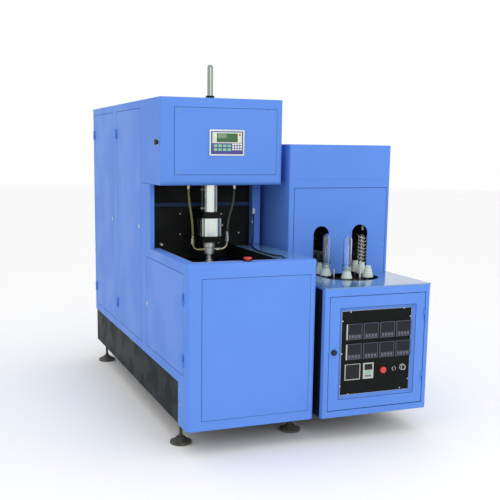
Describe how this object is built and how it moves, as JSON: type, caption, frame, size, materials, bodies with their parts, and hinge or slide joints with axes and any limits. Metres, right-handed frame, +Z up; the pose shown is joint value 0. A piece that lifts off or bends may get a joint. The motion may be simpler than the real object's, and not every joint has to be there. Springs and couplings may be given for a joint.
{
  "type": "blow moulding machine",
  "caption": "Semi-automatic bottle blow moulding machine: cabinet with blow head over a clamp well, beside a preform heater with lamp oven and control panel.",
  "frame": {"origin": "centre of the footprint box on the floor, under the levelling feet", "axes": "+Z up; +Y from the table and control panel towards the back; +X to the right seen from the front"},
  "size_m": [1.391, 2.2528, 1.98],
  "materials": {
    "blue_paint": "satin powder coat",
    "black_paint": "matte black paint",
    "foot_rubber": "matte, dusty",
    "bright_steel": "ground steel",
    "chrome": "polished",
    "anodised": "satin anodised",
    "dark_steel": "blackened",
    "mould_metal": "milled",
    "keypad": "printed film",
    "black_plastic": "fine texture",
    "red_plastic": "glossy",
    "white_nylon": "turned nylon",
    "clear_pet": "clear",
    "hose_braid": "braided cover",
    "cable_sheath": "smooth",
    "white_plastic": "moulded",
    "brass": "plated",
    "quartz": "clear quartz",
    "reflector": "bright rolled",
    "meter_plastic": "fine texture"
  },
  "bodies": {
    "machine": {"base_frame": "black_paint", "levelling_feet": "foot_rubber", "cabinet_frame": "blue_paint", "left_side_frames": "blue_paint", "cabinet_panels": "blue_paint", "air_inlet": "brass", "head_hood": "blue_paint", "head_panel": "blue_paint", "hmi_case": "keypad", "front_frame": "blue_paint", "front_panel": "blue_paint", "deck_strip": "blue_paint", "inner_guard": "black_paint", "stretch_cylinder": "anodised", "seal_cylinder": "anodised", "air_hose_left": "hose_braid", "air_hose_right": "hose_braid", "sensor_connector": "white_plastic", "sensor_cable": "cable_sheath", "tie_bars": "bright_steel", "mould_bed": "dark_steel", "heater_body": "blue_paint", "heater_deck": "blue_paint", "oven_housing": "blue_paint", "oven_front_panel": "blue_paint", "lamp_tubes": "quartz", "lamp_rack": "reflector", "carrier_chain": "dark_steel", "drive_motor": "dark_steel", "oven_holders": "white_nylon", "cover_screws": "bright_steel"},
    "blow_head": {"blow_nozzle": "chrome", "nozzle_fittings": "chrome"},
    "stretch_rod": {"stretch_rod": "bright_steel"},
    "front_clamp": {"front_platen": "dark_steel", "front_mould": "mould_metal", "clamp_cylinder": "dark_steel"},
    "rear_clamp": {"rear_platen": "dark_steel", "rear_mould": "mould_metal"},
    "rear_door": {"rear_door": "blue_paint"},
    "middle_door": {"middle_door": "blue_paint"},
    "lower_door": {"lower_door": "blue_paint"},
    "rear_door_lock": {"rear_door_lock": "bright_steel"},
    "middle_door_lock": {"middle_door_lock": "bright_steel"},
    "lower_door_lock": {"lower_door_lock": "bright_steel"},
    "emergency_button": {"emergency_button": "red_plastic"},
    "side_button": {"side_button": "black_plastic"},
    "control_door": {"control_door": "blue_paint", "instrument_panel": "black_paint", "panel_meters": "meter_plastic"},
    "door_knob": {"door_knob": "black_plastic"},
    "panel_button": {"panel_button": "red_plastic"},
    "key_switch": {"key_switch": "black_plastic"},
    "speed_knob": {"speed_knob": "chrome"},
    "front_sprocket": {"front_sprocket": "dark_steel"},
    "rear_sprocket": {"rear_sprocket": "dark_steel"},
    "holder_a": {"preform_holder_a": "white_nylon", "preform_a": "clear_pet"},
    "holder_b": {"preform_holder_b": "white_nylon", "preform_b": "clear_pet"}
  },
  "joints": [
    {"name": "rear_door_hinge", "type": "hinge", "parent": "machine", "child": "rear_door", "pos_m": [-0.68195, 1.06945, 1.0725], "axis": [0, 0, -1], "range_deg": [0, 100]},
    {"name": "rear_door_lock_turn", "type": "hinge", "parent": "rear_door", "child": "rear_door_lock", "pos_m": [-0.67545, 0.52445, 1.062], "axis": [1, 0, 0], "range_deg": [0, 90]},
    {"name": "middle_door_hinge", "type": "hinge", "parent": "machine", "child": "middle_door", "pos_m": [-0.68195, 0.38645, 1.0725], "axis": [0, 0, -1], "range_deg": [0, 100]},
    {"name": "middle_door_lock_turn", "type": "hinge", "parent": "middle_door", "child": "middle_door_lock", "pos_m": [-0.67545, -0.18455, 1.074], "axis": [1, 0, 0], "range_deg": [0, 90]},
    {"name": "lower_door_hinge", "type": "hinge", "parent": "machine", "child": "lower_door", "pos_m": [-0.68195, -1.03755, 0.66], "axis": [0, 0, 1], "range_deg": [0, 100]},
    {"name": "lower_door_lock_turn", "type": "hinge", "parent": "lower_door", "child": "lower_door_lock", "pos_m": [-0.67545, -0.35855, 0.653], "axis": [-1, 0, 0], "range_deg": [0, 90]},
    {"name": "control_door_hinge", "type": "hinge", "parent": "machine", "child": "control_door", "pos_m": [0.66755, -1.12045, 0.47], "axis": [0, 0, 1], "range_deg": [0, 110]},
    {"name": "door_knob_turn", "type": "hinge", "parent": "control_door", "child": "door_knob", "pos_m": [0.11955, -1.11395, 0.481], "axis": [0, -1, 0], "range_deg": [0, 90]},
    {"name": "panel_button_press", "type": "slide", "parent": "control_door", "child": "panel_button", "axis": [0, 1, 0], "range_m": [0, 0.004], "stiffness_N_per_m": 500},
    {"name": "key_switch_turn", "type": "hinge", "parent": "control_door", "child": "key_switch", "pos_m": [0.49155, -1.09595, 0.363], "axis": [0, 1, 0], "range_deg": [0, 90]},
    {"name": "speed_knob_turn", "type": "hinge", "parent": "control_door", "child": "speed_knob", "pos_m": [0.54555, -1.09595, 0.367], "axis": [0, 1, 0], "range_deg": [0, 270]},
    {"name": "emergency_button_press", "type": "slide", "parent": "machine", "child": "emergency_button", "axis": [0, 0, -1], "range_m": [0, 0.006], "stiffness_N_per_m": 800},
    {"name": "side_button_press", "type": "slide", "parent": "machine", "child": "side_button", "axis": [1, 0, 0], "range_m": [0, 0.004], "stiffness_N_per_m": 500},
    {"name": "blow_head_slide", "type": "slide", "parent": "machine", "child": "blow_head", "axis": [0, 0, -1], "range_m": [0, 0.04], "deforming": ["air_hose_left", "air_hose_right"]},
    {"name": "stretch_rod_slide", "type": "slide", "parent": "machine", "child": "stretch_rod", "axis": [0, 0, -1], "range_m": [0, 0.23]},
    {"name": "front_clamp_slide", "type": "slide", "parent": "machine", "child": "front_clamp", "axis": [0, 1, 0], "range_m": [0, 0.0599]},
    {"name": "rear_clamp_slide", "type": "slide", "parent": "machine", "child": "rear_clamp", "axis": [0, -1, 0], "range_m": [0, 0.0599]},
    {"name": "front_sprocket_spin", "type": "hinge", "parent": "machine", "child": "front_sprocket", "pos_m": [0.38575, -0.74155, 0.79], "axis": [0, 0, 1], "continuous": true, "deforming": ["carrier_chain"]},
    {"name": "rear_sprocket_spin", "type": "hinge", "parent": "machine", "child": "rear_sprocket", "pos_m": [0.38575, 0.17285, 0.79], "axis": [0, 0, 1], "continuous": true},
    {"name": "holder_a_spin", "type": "hinge", "parent": "machine", "child": "holder_a", "pos_m": [0.26435, -0.71777, 0.824], "axis": [0, 0, 1], "continuous": true},
    {"name": "holder_b_spin", "type": "hinge", "parent": "machine", "child": "holder_b", "pos_m": [0.32639, -0.84745, 0.824], "axis": [0, 0, 1], "continuous": true}
  ],
  "couplings": [
    {"joint": "rear_clamp_slide", "follows": "front_clamp_slide", "ratio": 1},
    {"joint": "rear_sprocket_spin", "follows": "front_sprocket_spin", "ratio": 1},
    {"joint": "holder_a_spin", "follows": "front_sprocket_spin", "ratio": -4.0467},
    {"joint": "holder_b_spin", "follows": "front_sprocket_spin", "ratio": -4.0467}
  ]
}
